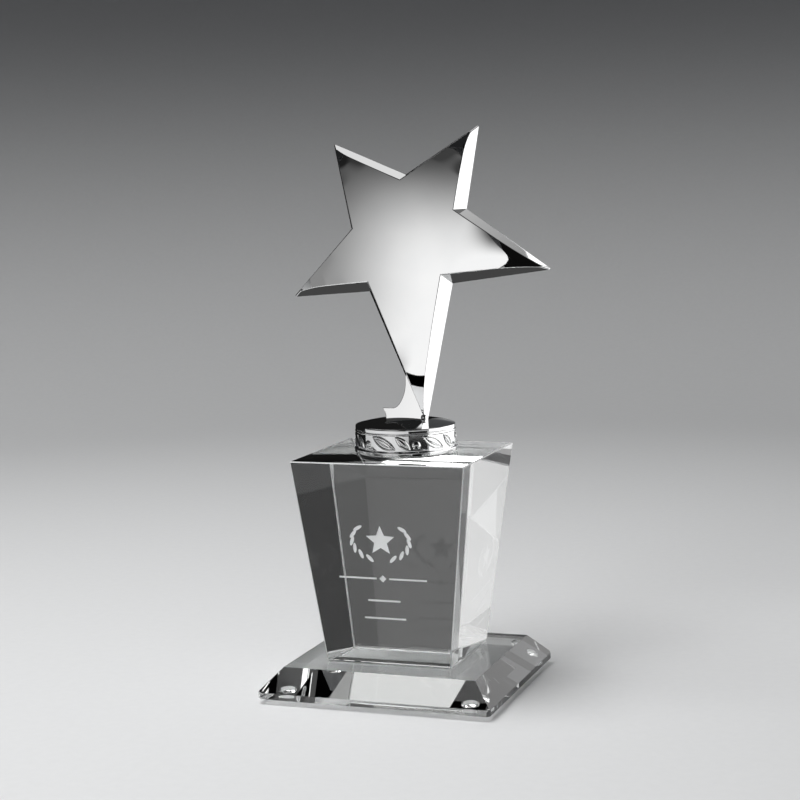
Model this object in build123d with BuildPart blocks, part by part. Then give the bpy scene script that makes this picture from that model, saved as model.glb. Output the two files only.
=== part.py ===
from build123d import *
import math
import os

# A star trophy: a bright metal star on a decorated metal collar, on a glass block, on a bevelled
# glass base plate. Millimetres. +Z is up, +X is to the right, and the decorated front faces -Y.
# The origin is the middle of the base plate's footprint, on the surface that the feet stand on.

# ---- driving dimensions ----

# clear bumper feet
bumper_diameter = 9.0
bumper_height = 2.0
bumper_edge_radius = 0.7
bumper_inset = 10.5             # from the base plate's sides to a foot's axis

# base plate
base_width = 100.0
base_depth = 93.0
base_thickness = 12.0
base_edge_height = 2.8          # the upright edge below the wide bevel
base_bevel = 8.6                # the bevel's width, seen from above
base_corner_clip = 1.4          # the small flat on each upright corner
base_arris = 0.35               # the fine chamfer round the underside

# adhesive films
bond_thickness = 0.1
pad_thickness = 0.7
pad_radius = 19.8

# glass block
block_bottom_width = 54.0
block_bottom_depth = 50.0
block_top_width = 75.0
block_top_depth = 69.0
block_height = 85.4
block_arris = 0.45              # the polished chamfer along every edge

# frosted marks in the block's front face, placed from the middle of that face
mark_depth = 0.3
emblem_height = 10.6
emblem_star_radius = 6.4
emblem_star_waist = 0.45        # the star's inner radius over its outer one
emblem_points = 5
wreath_half_width = 12.4
wreath_half_height = 8.2
wreath_leaf_length = 4.2
wreath_leaf_width = 1.5
wreath_leaves = 6               # on each side
wreath_start = -66.0            # degrees, the lowest leaf
wreath_step = 21.0
wreath_leaf_turn = 22.0         # how far each leaf leans off the wreath's line
rule_thickness = 0.7
long_rule_height = -5.5
long_rule_length = 38.0
diamond_side = 2.2
diamond_gap = 1.2
short_rule_heights = (-15.0, -22.6)
short_rule_lengths = (14.0, 18.0)

# metal collar: heights are above the block's top
figure_shift = 1.0              # the metalwork stands a little to the right of the block's middle
lip_radius = 21.4
lip_top = 2.5
lip_edge_radius = 0.5
field_radius = 20.8             # the plain ground behind the leaves
field_bottom = 2.9
field_top = 9.3
band_shoulder_radius = 21.1
band_top = 10.1
band_bore_radius = 19.2
disc_thickness = 1.5
seam_gap = 0.25                 # the fine groove between the band and the cap
cap_radius = 20.95
cap_rim_height = 12.0
cap_rise = 2.7
cap_rim_rounding = 0.4
cap_ceiling = 11.0              # the flat underside
spigot_length = 2.0             # how far the cap reaches down inside the band
spigot_wall = 1.2

# leaves and berries round the band; angles are degrees round the collar
repeats = 6
pattern_turn = 19.9             # where the pattern's zero lies, to the right of the front
berry_angle = 11.7
berry_diameter = 3.3
berry_height = 5.4
berry_proud = 0.55
leaf_height = 6.3               # of the leaves' middles
leaf_relief = 0.45
leaf_outline = 0.55             # the width of the raised outline
leaf_point_margin = 2.2         # how much shorter the sunk middle is than the leaf
midrib_width = 0.6
leaf_root = 2.0                 # how deep under the ground a leaf's raw shape starts
leaf_reach = 3.0                # and how far it runs outward before it is trimmed
leaves = (                      # angle, length, width, tilt
    (33.2, 11.3, 4.0, -26.0),
    (56.0, 8.2, 3.1, -42.0),
)

# star: places are in its own leaning plane, from the foot of its long arm, which the dome trims
star_lean = 10.0                # degrees, backward
star_tip_y = 1.0
star_tip_height = 15.0          # above the block's top
star_centre = (-0.7, 75.8)
arm_angles = (57.5, 131.4, 206.7, 277.9, 347.0)
arm_lengths = (55.1, 53.6, 57.4, 80.6, 64.7)
notch_angles = (94.6, 173.0, 234.9, 315.2, 383.7)
notch_radii = (26.3, 26.0, 28.7, 28.7, 27.8)
star_thickness = 8.6            # at the middle
star_draft = 21.0               # degrees that the side walls slope in toward the front
arm_tip_radius = 0.5
dome_radius = 650.0             # of the crowned front
nose_length = 13.0              # each arm's front rolls down over this length at its end
nose_thickness = 2.0            # what is left of the thickness at the very tip
nose_overrun = 0.2              # the roll runs this far past the tip
upright_edge = 0.1              # an edge that leaves the star's plane faster than this is an upright one
tip_bead_radius = 1.35
tip_bead_place = (10.1, -0.6, 3.2)

# support foot beside the long arm, in the star's plane
foot_thickness = 3.0
foot_top = (0.9, 17.0)
foot_waist = (0.4, 8.2)
foot_ledge_inner = (-3.9, 3.2)
foot_ledge_outer = (-8.5, 3.2)
foot_ledge_drop = 0.6
foot_ledge_slant = 0.15         # the ledge's end leans inward by this over its drop
foot_toe_hollow = (-7.3, 1.0)
foot_toe = (-6.9, -0.6)
foot_top_heading = (0.1, -1)    # which way the hollow side starts off at the top
foot_ledge_heading = (-1, -0.05)
foot_below = 3.0                # how far the raw shape reaches down before the dome trims it

# hidden fixings, all upright
screw_x = 3.0
screw_diameter = 1.6
screw_grip = 4.0                # how far the screw reaches into the foot
screw_head_diameter = 3.0
screw_head_height = 1.6
socket_across_flats = 1.5
socket_depth = 0.9
washer_diameter = 4.0
washer_thickness = 0.5
pin_x = -3.6
pin_diameter = 1.2
pin_above = 2.0                 # reach above and below the dome's crown
pin_below = 1.6

spare = 1.0                     # extra length on shapes that are trimmed later

# ---- levels, planes and shapes worked out from them ----

base_top = bumper_height + base_thickness
block_bottom = base_top + bond_thickness
block_top = block_bottom + block_height
band_bottom = block_top + pad_thickness
ceiling = block_top + cap_ceiling
crown = block_top + cap_rim_height + cap_rise
collar_middle = (figure_shift, 0)
collar_line = Axis((figure_shift, 0, 0), (0, 0, 1))
collar_section = Plane(origin=(figure_shift, 0, block_top), x_dir=(1, 0, 0), z_dir=(0, -1, 0))

face_slope = math.atan2((block_top_depth - block_bottom_depth) / 2, block_height)
face_plane = Plane(
    origin=(0, -(block_top_depth + block_bottom_depth) / 4, block_bottom + block_height / 2),
    x_dir=(1, 0, 0),
    z_dir=(0, -math.cos(face_slope), -math.sin(face_slope)),
)

lean = math.radians(star_lean)
star_plane = Plane(
    origin=(0, star_tip_y, block_top + star_tip_height),
    x_dir=(1, 0, 0),
    z_dir=(0, -math.cos(lean), math.sin(lean)),
)

# the small upright fixings stand in the middle of the leaning foot's thickness
fixing_y = star_tip_y - foot_thickness / 2 * math.cos(lean) + screw_grip / 2 * math.sin(lean)


def polar(radius, angle, centre=(0, 0)):
    """The point at a radius and an angle in degrees from a centre."""
    turn = math.radians(angle)
    return (centre[0] + radius * math.cos(turn), centre[1] + radius * math.sin(turn))


def star_corners(angles, lengths, notches, radii, centre):
    """The corners of a star, tip and notch by turns."""
    corners = []
    for angle, length, notch, radius in zip(angles, lengths, notches, radii):
        corners.append(polar(length, angle, centre))
        corners.append(polar(radius, notch, centre))
    return corners


def leaf_arcs(length, width):
    """The two arcs of a pointed leaf along X, for use inside a BuildLine."""
    half = length / 2
    ThreePointArc((-half, 0), (0, -width / 2), (half, 0))
    ThreePointArc((half, 0), (0, width / 2), (-half, 0))


# ---- base plate ----

with BuildPart() as base_plate:
    with BuildSketch(Plane.XY.offset(bumper_height)):
        Rectangle(base_width, base_depth)
    extrude(amount=base_edge_height)
    with BuildSketch(Plane.XY.offset(bumper_height + base_edge_height)):
        Rectangle(base_width, base_depth)
    with BuildSketch(Plane.XY.offset(base_top)):
        Rectangle(base_width - 2 * base_bevel, base_depth - 2 * base_bevel)
    loft(ruled=True)
    chamfer(base_plate.edges().filter_by(Axis.Z), length=base_corner_clip)
    chamfer(base_plate.faces().sort_by(Axis.Z)[0].edges(), length=base_arris)

base_plate.part.label = "base_plate"

# ---- clear bumper feet, one under each corner ----

bumper_x = base_width / 2 - bumper_inset
bumper_y = base_depth / 2 - bumper_inset
bumper_places = {
    "front_left": (-bumper_x, -bumper_y),
    "front_right": (bumper_x, -bumper_y),
    "back_left": (-bumper_x, bumper_y),
    "back_right": (bumper_x, bumper_y),
}
bumper_feet = []
for corner, place in bumper_places.items():
    with BuildPart() as bumper_foot:
        with BuildSketch(Plane.XY):
            with Locations(place):
                Circle(bumper_diameter / 2)
        extrude(amount=bumper_height)
        fillet(bumper_foot.edges().sort_by(Axis.Z)[0], radius=bumper_edge_radius)
    bumper_foot.part.label = "bumper_foot_" + corner
    bumper_feet.append(bumper_foot.part)

# ---- clear adhesive film between base plate and block ----

with BuildPart() as block_bond:
    with BuildSketch(Plane.XY.offset(base_top)):
        Rectangle(block_bottom_width - 2 * block_arris, block_bottom_depth - 2 * block_arris)
    extrude(amount=bond_thickness)

block_bond.part.label = "block_bond"

# ---- glass block, with the frosted marks sunk in its front face ----

with BuildPart() as glass_block:
    with BuildSketch(Plane.XY.offset(block_bottom)):
        Rectangle(block_bottom_width, block_bottom_depth)
    with BuildSketch(Plane.XY.offset(block_top)):
        Rectangle(block_top_width, block_top_depth)
    loft(ruled=True)
    chamfer(glass_block.edges(), length=block_arris)

    with BuildSketch(face_plane):
        # a plain star
        with BuildLine():
            tips = [90 + 360 / emblem_points * arm for arm in range(emblem_points)]
            waists = [tip + 180 / emblem_points for tip in tips]
            tip_radii = [emblem_star_radius] * emblem_points
            waist_radii = [emblem_star_radius * emblem_star_waist] * emblem_points
            corners = star_corners(tips, tip_radii, waists, waist_radii, (0, emblem_height))
            Polyline(*corners, close=True)
        make_face()
        # a sprig of leaves up each side of it
        for leaf in range(wreath_leaves):
            angle = wreath_start + wreath_step * leaf
            across = wreath_half_width * math.cos(math.radians(angle))
            up = emblem_height + wreath_half_height * math.sin(math.radians(angle))
            for side in (-1, 1):
                lie = side * (90 + angle + wreath_leaf_turn)
                with Locations(Location((side * across, up, 0), (0, 0, lie))):
                    Ellipse(wreath_leaf_length / 2, wreath_leaf_width / 2)
        # a long rule with a diamond in its middle
        with Locations((0, long_rule_height)):
            Rectangle(diamond_side, diamond_side, rotation=45)
        diamond_half = diamond_side / math.sqrt(2) + diamond_gap
        half_rule = long_rule_length / 2 - diamond_half
        rule_middle = diamond_half + half_rule / 2
        with Locations((-rule_middle, long_rule_height), (rule_middle, long_rule_height)):
            Rectangle(half_rule, rule_thickness)
        # two short rules
        for height, length in zip(short_rule_heights, short_rule_lengths):
            with Locations((0, height)):
                Rectangle(length, rule_thickness)
    extrude(amount=-mark_depth, mode=Mode.SUBTRACT)

glass_block.part.label = "glass_block"

# ---- adhesive pad and closing disc under the collar ----

with BuildPart() as collar_pad:
    with BuildSketch(Plane.XY.offset(block_top)):
        with Locations(collar_middle):
            Circle(pad_radius)
    extrude(amount=pad_thickness)

collar_pad.part.label = "collar_pad"

with BuildPart() as collar_disc:
    with BuildSketch(Plane.XY.offset(band_bottom)):
        with Locations(collar_middle):
            Circle(band_bore_radius)
    extrude(amount=disc_thickness)

collar_disc.part.label = "collar_disc"

# ---- decorated band ----

# each leaf is a raised outline with a midrib, trimmed to the collar's curve
with BuildPart() as leaf_ring:
    for repeat in range(repeats):
        for angle, length, width, tilt in leaves:
            around = math.radians(pattern_turn + angle + 360 / repeats * repeat)
            outward = Vector(math.sin(around), -math.cos(around), 0)
            leaf_middle = Vector(figure_shift, 0, block_top + leaf_height)
            leaf_plane = Plane(
                origin=leaf_middle + outward * (field_radius - leaf_root),
                x_dir=(math.cos(around), math.sin(around), 0),
                z_dir=outward,
            ).rotated((0, 0, tilt))
            with BuildSketch(leaf_plane):
                with BuildLine():
                    leaf_arcs(length, width)
                make_face()
                with BuildLine():
                    leaf_arcs(length - leaf_point_margin, width - 2 * leaf_outline)
                make_face(mode=Mode.SUBTRACT)
                with BuildLine():
                    leaf_arcs(length, midrib_width)
                make_face()
            extrude(amount=leaf_reach)
    with BuildSketch(Plane.XY.offset(block_top)):
        with Locations(collar_middle):
            Circle(field_radius + leaf_relief)
            Circle(field_radius - leaf_relief, mode=Mode.SUBTRACT)
    extrude(amount=cap_rim_height, mode=Mode.INTERSECT)

with BuildPart() as collar_band:
    with BuildSketch(collar_section):
        with BuildLine():
            Polyline(
                (band_bore_radius, pad_thickness),
                (lip_radius, pad_thickness),
                (lip_radius, lip_top),
                (field_radius, field_bottom),
                (field_radius, field_top),
                (band_shoulder_radius, field_top + band_shoulder_radius - field_radius),
                (band_shoulder_radius, band_top),
                (band_bore_radius, band_top),
                close=True,
            )
        make_face()
    revolve(axis=collar_line)
    rims = collar_band.edges().filter_by(GeomType.CIRCLE)
    fillet([rim for rim in rims if rim.radius > (lip_radius + band_shoulder_radius) / 2], lip_edge_radius)
    add(leaf_ring.part)
    # each berry is a low dome
    berry_half = berry_diameter / 2
    berry_ball = (berry_half**2 + berry_proud**2) / (2 * berry_proud)
    for repeat in range(repeats):
        around = math.radians(pattern_turn + berry_angle + 360 / repeats * repeat)
        sunk = field_radius + berry_proud - berry_ball
        place = (
            figure_shift + sunk * math.sin(around),
            -sunk * math.cos(around),
            block_top + berry_height,
        )
        with Locations(place):
            Sphere(berry_ball)
    with BuildSketch(Plane.XY.offset(block_top)):
        with Locations(collar_middle):
            Circle(band_bore_radius)
    extrude(amount=cap_rim_height, mode=Mode.SUBTRACT)

collar_band.part.label = "collar_band"

# ---- domed cap: flat underside, and a spigot down inside the band ----

# the outside of the dome, filled down to the seam
with BuildPart() as dome_form:
    with BuildSketch(collar_section):
        with BuildLine():
            Line((0, band_top + seam_gap), (cap_radius, band_top + seam_gap))
            Line((cap_radius, band_top + seam_gap), (cap_radius, cap_rim_height))
            bulge = (cap_radius**2 + cap_rise**2) / (2 * cap_rise)
            half_way = math.sqrt(bulge**2 - (cap_radius / 2) ** 2) - bulge
            crown_height = cap_rim_height + cap_rise
            ThreePointArc(
                (cap_radius, cap_rim_height), (cap_radius / 2, crown_height + half_way), (0, crown_height)
            )
            Line((0, crown_height), (0, band_top + seam_gap))
        make_face()
    revolve(axis=collar_line)
    rims = dome_form.edges().filter_by(GeomType.CIRCLE).filter_by(
        lambda edge: abs(edge.radius - cap_radius) < cap_rim_rounding
    )
    fillet(rims.sort_by(Axis.Z)[-1], radius=cap_rim_rounding)

with BuildPart() as collar_cap:
    add(dome_form.part)
    with BuildSketch(Plane.XY.offset(block_top + band_top)):
        with Locations(collar_middle):
            Circle(band_shoulder_radius - 2 * seam_gap)
    extrude(amount=seam_gap)
    with BuildSketch(Plane.XY.offset(block_top + band_top)):
        with Locations(collar_middle):
            Circle(band_bore_radius)
    extrude(amount=-spigot_length)
    with BuildSketch(Plane.XY.offset(ceiling)):
        with Locations(collar_middle):
            Circle(band_bore_radius - spigot_wall)
    extrude(amount=-(cap_ceiling - band_top + spigot_length), mode=Mode.SUBTRACT)
    # holes for the screw and the pin
    with BuildSketch(Plane.XY.offset(ceiling)):
        with Locations((screw_x, fixing_y)):
            Circle(screw_diameter / 2)
    extrude(amount=cap_rise + cap_rim_height, mode=Mode.SUBTRACT)
    with BuildSketch(Plane.XY.offset(crown - pin_below)):
        with Locations((pin_x, fixing_y)):
            Circle(pin_diameter / 2)
    extrude(amount=cap_rim_height, mode=Mode.SUBTRACT)

collar_cap.part.label = "collar_cap"

# ---- star ----

# the crowned front is part of a large ball, and its middle is the star's middle
ball_middle = star_plane.from_local_coords((*star_centre, star_thickness - dome_radius))


def crown_drop(distance):
    """How far the crowned front has fallen at a distance from the star's middle."""
    return dome_radius - math.sqrt(dome_radius**2 - distance**2)


with BuildPart() as star:
    with BuildSketch(star_plane):
        with BuildLine():
            Polyline(
                *star_corners(arm_angles, arm_lengths, notch_angles, notch_radii, star_centre), close=True
            )
        make_face()
    extrude(amount=star_thickness + spare, taper=star_draft)
    # round the upright edge at each arm's tip
    tip_edges = []
    for angle, length in zip(arm_angles, arm_lengths):
        tip = star_plane.from_local_coords((*polar(length, angle, star_centre), 0))
        upright = star.edges().filter_by(
            lambda edge: abs(edge.tangent_at(0).dot(star_plane.z_dir)) > upright_edge
        )
        tip_edges.append(upright.sort_by_distance(tip)[0])
    fillet(tip_edges, radius=arm_tip_radius)
    # crown the front
    with Locations(ball_middle):
        Sphere(dome_radius, mode=Mode.INTERSECT)
    # roll each arm's front down toward its tip
    for angle, length in zip(arm_angles, arm_lengths):
        middle = star_plane.from_local_coords((*star_centre, 0))
        along = star_plane.from_local_coords((*polar(1, angle, star_centre), 0)) - middle
        nose_plane = Plane(origin=middle, x_dir=along, z_dir=along.cross(star_plane.z_dir))
        start = length - nose_length
        height = star_thickness - crown_drop(start)
        above = star_thickness + 2 * spare
        past = length + 2 * spare
        roll_end = (length + nose_overrun, nose_thickness)
        with BuildSketch(nose_plane):
            with BuildLine():
                TangentArc((start, height), roll_end, tangent=(dome_radius, -start))
                Polyline(roll_end, (past, nose_thickness), (past, above), (start, above), (start, height))
            make_face()
        extrude(amount=nose_length, both=True, mode=Mode.SUBTRACT)
    # the small bead where the long arm meets the dome
    with Locations(star_plane.from_local_coords(tip_bead_place)):
        Sphere(tip_bead_radius)
    add(dome_form.part, mode=Mode.SUBTRACT)

star.part.label = "star"

# ---- support foot ----

long_arm = arm_lengths.index(max(arm_lengths))
long_arm_tip = polar(arm_lengths[long_arm], arm_angles[long_arm], star_centre)


def long_arm_point(height):
    """The point of the long arm's middle line at a height in the star's plane."""
    share = (height - long_arm_tip[1]) / (star_centre[1] - long_arm_tip[1])
    return (long_arm_tip[0] + share * (star_centre[0] - long_arm_tip[0]), height)


with BuildPart() as support_foot:
    with BuildSketch(star_plane):
        with BuildLine():
            Spline(foot_top, foot_waist, foot_ledge_inner, tangents=(foot_top_heading, foot_ledge_heading))
            ledge_corner = (foot_ledge_outer[0] + foot_ledge_slant, foot_ledge_outer[1] - foot_ledge_drop)
            Polyline(foot_ledge_inner, foot_ledge_outer, ledge_corner)
            ThreePointArc(ledge_corner, foot_toe_hollow, foot_toe)
            # the side toward the star runs up the middle of the long arm, which then trims it
            Polyline(
                foot_toe,
                (foot_toe[0], foot_toe[1] - foot_below),
                long_arm_point(foot_toe[1] - foot_below),
                long_arm_point(foot_top[1]),
                foot_top,
            )
        make_face()
    extrude(amount=foot_thickness)
    add(star.part, mode=Mode.SUBTRACT)
    add(dome_form.part, mode=Mode.SUBTRACT)
    with BuildSketch(Plane.XY.offset(ceiling)):
        with Locations((screw_x, fixing_y)):
            Circle(screw_diameter / 2)
    extrude(amount=crown + screw_grip - ceiling, mode=Mode.SUBTRACT)
    with BuildSketch(Plane.XY.offset(crown - pin_below)):
        with Locations((pin_x, fixing_y)):
            Circle(pin_diameter / 2)
    extrude(amount=pin_below + pin_above, mode=Mode.SUBTRACT)

support_foot.part.label = "support_foot"

# ---- hidden fixings ----

with BuildPart() as foot_washer:
    with BuildSketch(Plane.XY.offset(ceiling - washer_thickness)):
        with Locations((screw_x, fixing_y)):
            Circle(washer_diameter / 2)
            Circle(screw_diameter / 2, mode=Mode.SUBTRACT)
    extrude(amount=washer_thickness)

foot_washer.part.label = "foot_washer"

with BuildPart() as foot_screw:
    head_bottom = ceiling - washer_thickness - screw_head_height
    with BuildSketch(Plane.XY.offset(head_bottom)):
        with Locations((screw_x, fixing_y)):
            Circle(screw_head_diameter / 2)
    extrude(amount=screw_head_height)
    with BuildSketch(Plane.XY.offset(ceiling - washer_thickness)):
        with Locations((screw_x, fixing_y)):
            Circle(screw_diameter / 2)
    extrude(amount=crown + screw_grip - ceiling + washer_thickness)
    with BuildSketch(Plane.XY.offset(head_bottom)):
        with Locations((screw_x, fixing_y)):
            RegularPolygon(socket_across_flats / 2, 6, major_radius=False)
    extrude(amount=socket_depth, mode=Mode.SUBTRACT)

foot_screw.part.label = "foot_screw"

with BuildPart() as locating_pin:
    with BuildSketch(Plane.XY.offset(crown - pin_below)):
        with Locations((pin_x, fixing_y)):
            Circle(pin_diameter / 2)
    extrude(amount=pin_below + pin_above)

locating_pin.part.label = "locating_pin"

# ---- one file for each piece ----

os.makedirs("parts", exist_ok=True)
pieces = [
    base_plate.part,
    *bumper_feet,
    block_bond.part,
    glass_block.part,
    collar_pad.part,
    collar_disc.part,
    collar_band.part,
    collar_cap.part,
    star.part,
    support_foot.part,
    foot_washer.part,
    foot_screw.part,
    locating_pin.part,
]
for piece in pieces:
    export_step(piece, f"parts/{piece.label}.step")
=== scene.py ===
import math

import bmesh
import bpy
import numpy as np
from mathutils import Matrix, Vector


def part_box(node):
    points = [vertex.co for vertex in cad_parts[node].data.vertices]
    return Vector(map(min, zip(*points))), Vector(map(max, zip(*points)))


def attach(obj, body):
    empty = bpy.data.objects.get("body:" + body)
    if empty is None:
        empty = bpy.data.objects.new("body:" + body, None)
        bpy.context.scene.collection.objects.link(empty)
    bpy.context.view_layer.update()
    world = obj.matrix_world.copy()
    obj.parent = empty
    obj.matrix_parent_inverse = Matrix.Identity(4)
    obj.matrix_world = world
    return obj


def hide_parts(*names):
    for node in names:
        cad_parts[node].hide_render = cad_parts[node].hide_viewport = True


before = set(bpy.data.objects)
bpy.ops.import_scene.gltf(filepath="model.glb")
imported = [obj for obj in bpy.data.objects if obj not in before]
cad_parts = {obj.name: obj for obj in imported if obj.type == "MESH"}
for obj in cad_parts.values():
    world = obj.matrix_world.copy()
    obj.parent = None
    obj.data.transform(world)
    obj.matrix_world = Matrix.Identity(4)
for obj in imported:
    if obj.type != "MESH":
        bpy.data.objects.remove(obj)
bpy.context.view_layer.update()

# A star trophy: a chrome star and foot on a decorated chrome collar, on a clear glass block, on a
# bevelled clear glass plate with clear bumper feet. Lengths below are millimetres, and MM turns them
# into the scene's metres. Levels and places come from the CAD nodes' boxes.

MM = 0.001

# ---- levels and places from the frame ----


def node_box(node):
    """A CAD node's lowest and highest corners, in millimetres."""
    low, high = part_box(node)
    return low / MM, high / MM


block_low, block_high = node_box("glass_block")
bond_low, bond_high = node_box("block_bond")
pad_low, pad_high = node_box("collar_pad")
band_low, band_high = node_box("collar_band")
screw_low, screw_high = node_box("foot_screw")
pin_low, pin_high = node_box("locating_pin")

plate_underside = node_box("base_plate")[0].z
block_top = block_high.z
cap_top = node_box("collar_cap")[1].z
collar_x = (band_low.x + band_high.x) / 2
collar_y = (band_low.y + band_high.y) / 2
screw_x = (screw_low.x + screw_high.x) / 2
fixing_y = (screw_low.y + screw_high.y) / 2
pin_x = (pin_low.x + pin_high.x) / 2
pin_radius = (pin_high.x - pin_low.x) / 2
screw_shank_radius = 0.8

# ---- driving dimensions, the same as the CAD part's ----

# star: places are in its own leaning plane, from the foot of its long arm
star_lean = math.radians(10.0)
star_tip_y = 1.0
star_tip_height = 15.0          # above the block's top
star_centre = (-0.7, 75.8)
arm_angles = (57.5, 131.4, 206.7, 277.9, 347.0)
arm_lengths = (55.1, 53.6, 57.4, 80.6, 64.7)
notch_angles = (94.6, 173.0, 234.9, 315.2, 383.7)
notch_radii = (26.3, 26.0, 28.7, 28.7, 27.8)
star_thickness = 8.6            # at the middle
star_draft = math.radians(21.0)
arm_tip_radius = 0.5
crown_radius = 650.0            # of the crowned front, across and upward
crown_radius_down = 1100.0      # flatter along the long arm
nose_lengths = (15.0, 14.0, 18.0, 27.0, 27.0)   # how much of each arm's front rolls down
nose_thickness = 1.6            # what is left of the thickness at an arm's tip
nose_spreads = (1.0, 0.6, 0.6, 1.5, 1.5)        # how fast the roll falls across, against along
arm_cosine = 0.8                # the roll starts where a point's direction is this near an arm's
arm_blend = 0.12
front_edge_round = 0.4
back_edge_round = 0.25
bead_radius = 1.35
bead_place = (10.1, -0.6, 3.2)

# support foot, in the star's plane
foot_thickness = 3.0
foot_top = (0.9, 17.0)
foot_waist = (0.4, 8.2)
foot_ledge_inner = (-3.9, 3.2)
foot_ledge_outer = (-8.5, 3.2)
foot_ledge_drop = 0.6
foot_ledge_slant = 0.15
foot_top_heading = (0.1, -1)    # which way the outline runs at its top and at its ledge
foot_ledge_heading = (-1, -0.05)
foot_toe_hollow = (-7.3, 1.0)
foot_toe = (-6.9, -0.6)
foot_below = 3.0
foot_edge_round = 0.28

# collar: heights are above the block's top
lip_radius = 21.4
lip_top = 2.5
field_radius = 20.8
field_bottom = 2.9
field_top = 9.3
shoulder_radius = 21.1
band_bottom = 0.7
band_top = 10.1
bore_radius = 19.2
seam_gap = 0.25
cap_radius = 20.95
cap_rim_height = 12.0
cap_rise = 2.7
cap_ceiling = 11.0
spigot_length = 2.0
spigot_wall = 1.2

# leaves and berries round the band
repeats = 6
pattern_turn = 19.9
berry_angle = 11.7
berry_radius = 1.65
berry_height = 5.4
berry_proud = 0.52
leaf_height = 6.3
leaf_relief = 0.42
leaves = (                      # angle, length, width, tilt
    (33.2, 11.3, 4.0, -26.0),
    (56.0, 8.2, 3.1, -42.0),
)
rim_inset = 0.26                # of the raised rim round each leaf
rim_width = 0.24
inner_leaf = (0.78, 0.52)       # its length and width as shares of the leaf's
rib_width = 0.17
vein_pitch = 0.62
vein_slant = 1.1
sunk_depth = 0.12               # of the band between rim and inner leaf, as a share of the relief

# glass
corners = ("front_left", "front_right", "back_left", "back_right")
bumper_bed = 0.03               # how deep a bumper's film sinks into the plate's underside
bumper_margin = 0.7             # the film stays this far inside the bumper's rim
marks_half_width = 23.0         # the marks lie this near the block's middle,
marks_margin = 10.0             # this far inside its top and bottom,
marks_deepest = 0.5             # and no deeper than this behind its front face
arris_slant = 0.4               # a chamfer's normal leans at least this much on two axes
flat_face = 0.999               # a level face's normal is at least this upright

# ---- small tools ----


def smoothstep(value):
    """0 below 0, 1 above 1, and smooth between."""
    value = np.clip(value, 0.0, 1.0)
    return value * value * (3.0 - 2.0 * value)


def polar(radius, angle):
    """The point at a radius and an angle in degrees."""
    turn = math.radians(angle)
    return np.array((radius * math.cos(turn), radius * math.sin(turn)))


def in_scene(name, data):
    """A new object in the scene."""
    made = bpy.data.objects.new(name, data)
    bpy.context.scene.collection.objects.link(made)
    return made


def mesh_of(points, faces, name="scratch"):
    """A bare mesh from points in millimetres."""
    mesh = bpy.data.meshes.new(name)
    mesh.from_pydata((np.asarray(points, float) * MM).tolist(), [], faces)
    mesh.validate()
    return mesh


def own_piece(piece, node):
    """Rides a piece on the body, and hides the CAD node it stands for."""
    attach(piece, "root")
    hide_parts(node)
    return piece


def new_piece(name, points, faces, node):
    """A smooth mesh object from points in millimetres, riding on the one body."""
    mesh = mesh_of(points, faces, name)
    mesh.shade_smooth()
    return own_piece(in_scene(name, mesh), node)


def dress(piece, *materials):
    """Gives a piece these materials, in this order."""
    piece.data.materials.clear()
    for material in materials:
        piece.data.materials.append(material)


def carve(piece, cutter, operation="DIFFERENCE"):
    """Applies a boolean to a piece for good, and removes the cutter."""
    change = piece.modifiers.new("carve", "BOOLEAN")
    change.operation = operation
    change.solver = "EXACT"
    change.object = cutter
    apply_modifiers(piece)
    mesh = cutter.data
    bpy.data.objects.remove(cutter)
    bpy.data.meshes.remove(mesh)


def apply_modifiers(piece):
    """Replaces a piece's mesh by what its modifiers make of it."""
    bpy.context.view_layer.update()
    graph = bpy.context.evaluated_depsgraph_get()
    made = bpy.data.meshes.new_from_object(piece.evaluated_get(graph))
    old = piece.data
    piece.modifiers.clear()
    piece.data = made
    made.name = piece.name
    bpy.data.meshes.remove(old)


def even_shading(piece):
    """Lets a piece's large flat faces stay flat beside their rounded edges."""
    even = piece.modifiers.new("even_shading", "WEIGHTED_NORMAL")
    even.keep_sharp = True
    even.weight = 100
    apply_modifiers(piece)


def rounded(corners, steps=6):
    """Corners as (x, y, radius) with each one rounded by an arc of that radius."""
    line = []
    count = len(corners)
    for index in range(count):
        x, y, radius = corners[index]
        here = np.array((x, y))
        if radius <= 0 or index in (0, count - 1):
            line.append(here)
            continue
        before = np.array(corners[index - 1][:2]) - here
        after = np.array(corners[index + 1][:2]) - here
        before_unit = before / np.linalg.norm(before)
        after_unit = after / np.linalg.norm(after)
        half = math.acos(max(-1.0, min(1.0, before_unit @ after_unit))) / 2
        reach = radius / math.tan(half)
        middle = here + (before_unit + after_unit) / (2 * math.cos(half)) * (radius / math.sin(half))
        start = here + before_unit * reach - middle
        end = here + after_unit * reach - middle
        first = math.atan2(start[1], start[0])
        sweep = (math.atan2(end[1], end[0]) - first + math.pi) % (2 * math.pi) - math.pi
        for step in range(steps + 1):
            angle = first + sweep * step / steps
            line.append(middle + radius * np.array((math.cos(angle), math.sin(angle))))
    return line


def lathe(line, segments, centre, relief=None):
    """Points and faces of a closed turned body. line runs anticlockwise in (radius, height)."""
    line = np.asarray(line, float)
    around = np.arange(segments) * 2 * math.pi / segments
    points, rows = [], []
    for radius, height in line:
        if radius < 1e-9:
            rows.append([len(points)] * segments)
            points.append((centre[0], centre[1], height))
            continue
        radii = np.full(segments, radius)
        if relief is not None:
            radii = radii + relief(around, height, radius)
        rows.append(list(range(len(points), len(points) + segments)))
        xs = centre[0] + radii * np.sin(around)
        ys = centre[1] - radii * np.cos(around)
        points.extend(zip(xs, ys, np.full(segments, height)))
    faces = []
    closed = line[0][0] > 1e-9
    last = len(rows) if closed else len(rows) - 1
    for index in range(last):
        low, high = rows[index], rows[(index + 1) % len(rows)]
        for step in range(segments):
            near = (step + 1) % segments
            face = [low[step], low[near], high[near], high[step]]
            faces.append(tuple(dict.fromkeys(face)))
    return points, faces


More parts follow.
